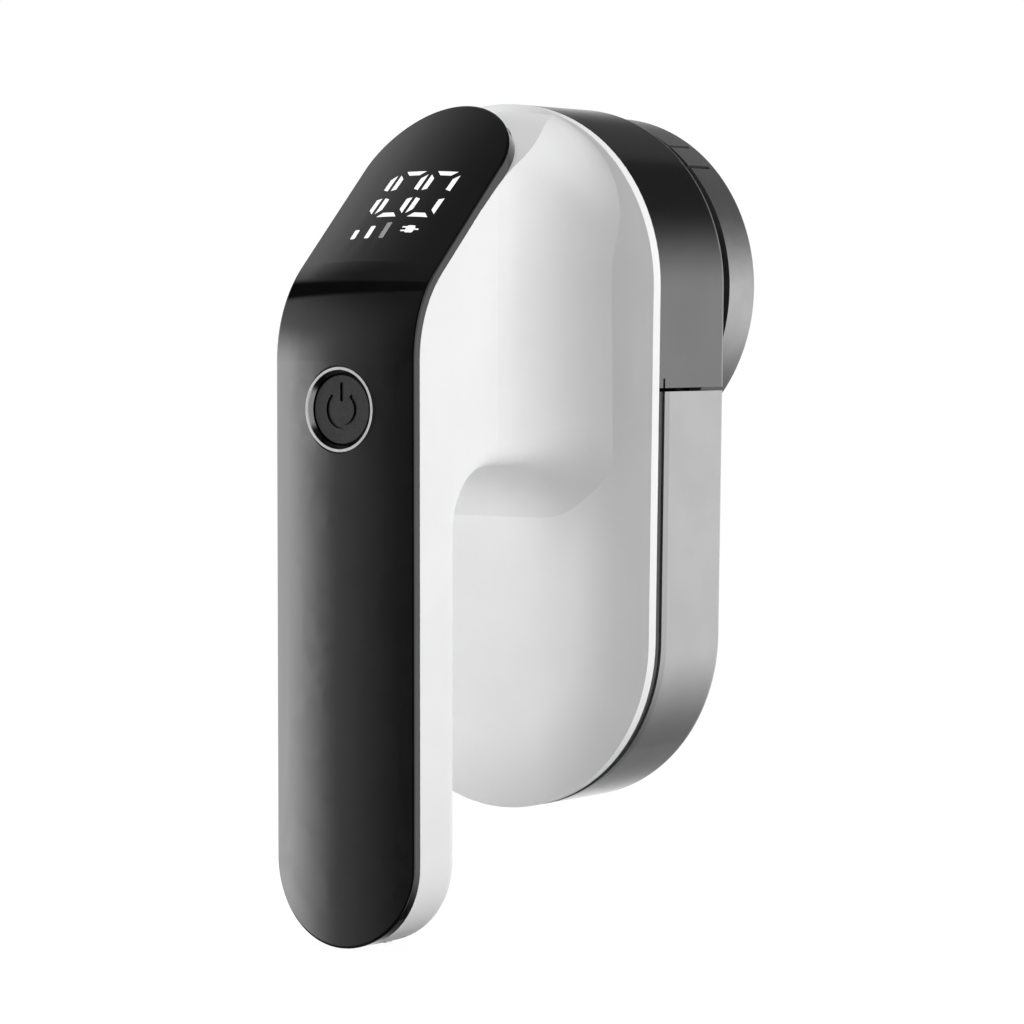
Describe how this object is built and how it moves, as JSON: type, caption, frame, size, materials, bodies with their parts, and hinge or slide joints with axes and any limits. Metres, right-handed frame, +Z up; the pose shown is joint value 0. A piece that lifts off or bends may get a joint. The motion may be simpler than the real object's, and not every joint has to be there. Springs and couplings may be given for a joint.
{
  "type": "fabric shaver",
  "caption": "Cordless fabric shaver with an upright handle, sloped display panel, round foil head with a guard ring, and a slide-off lint bin.",
  "frame": {"origin": "middle of the bounding box's underside, at the lower end of the handle", "axes": "+Z up the handle, +Y from the front panel towards the cutting head, +X to the side"},
  "size_m": [0.07, 0.0892, 0.1573],
  "materials": {
    "white_shell": "satin white moulded ABS",
    "gloss_black": "polished black acrylic",
    "display_light": "clear light guide, lit white",
    "diffuser": "milky diffuser",
    "pcb": "green solder mask",
    "chrome": "bright plated",
    "button_black": "satin black",
    "black_plastic": "fine textured black",
    "steel": "stainless",
    "zinc_steel": "zinc plated",
    "battery_wrap": "silver pouch film",
    "foam": "soft foam tape",
    "bronze": "sintered bronze",
    "smoke_dark": "smoked polycarbonate, dark tint",
    "smoke_light": "smoked polycarbonate, light tint",
    "ring_grey": "metallic grey, satin",
    "rubber_black": "black rubber",
    "felt": "felt washer",
    "impeller_grey": "moulded grey",
    "lead_wire": "insulated wire"
  },
  "bodies": {
    "body": {"body_shell": "white_shell", "front_panel": "gloss_black", "display_segments": "display_light", "display_diffuser": "diffuser", "display_board": "pcb", "button_bezel": "chrome", "tact_switch": "steel", "main_board": "pcb", "board_screws": "zinc_steel", "battery_cell": "battery_wrap", "battery_pad": "foam", "charge_socket": "steel", "charge_board": "pcb", "motor_can": "zinc_steel", "motor_end_cap": "black_plastic", "front_bushing": "bronze", "rear_bushing": "bronze", "motor_screws": "zinc_steel", "motor_sleeve": "rubber_black", "chassis_plate": "black_plastic", "shaft_seal": "felt", "housing_screws": "zinc_steel", "rear_housing": "smoke_dark", "battery_leads": "lead_wire", "motor_leads": "lead_wire", "display_leads": "lead_wire", "motor_terminals": "bronze"},
    "power_button": {"power_button": "button_black", "switch_plunger": "black_plastic"},
    "rotor": {"motor_shaft": "steel", "impeller": "impeller_grey", "blade_hub": "impeller_grey", "blades": "steel", "blade_nut": "steel"},
    "guard_ring": {"guard_ring": "ring_grey", "foil_frame": "black_plastic", "foil": "steel"},
    "lint_bin": {"lint_bin": "smoke_light"}
  },
  "joints": [
    {"name": "button_press", "type": "slide", "parent": "body", "child": "power_button", "axis": [0, 1, 0], "range_m": [0, 0.0004], "stiffness_N_per_m": 2000},
    {"name": "cutter_spin", "type": "hinge", "parent": "body", "child": "rotor", "pos_m": [0, 0.02, 0.1223], "axis": [0, 1, 0], "continuous": true},
    {"name": "ring_turn", "type": "hinge", "parent": "body", "child": "guard_ring", "pos_m": [0, 0.04, 0.1223], "axis": [0, 1, 0], "range_deg": [0, 35]},
    {"name": "bin_slide", "type": "slide", "parent": "body", "child": "lint_bin", "axis": [0, 0, -1], "range_m": [0, 0.09]}
  ]
}
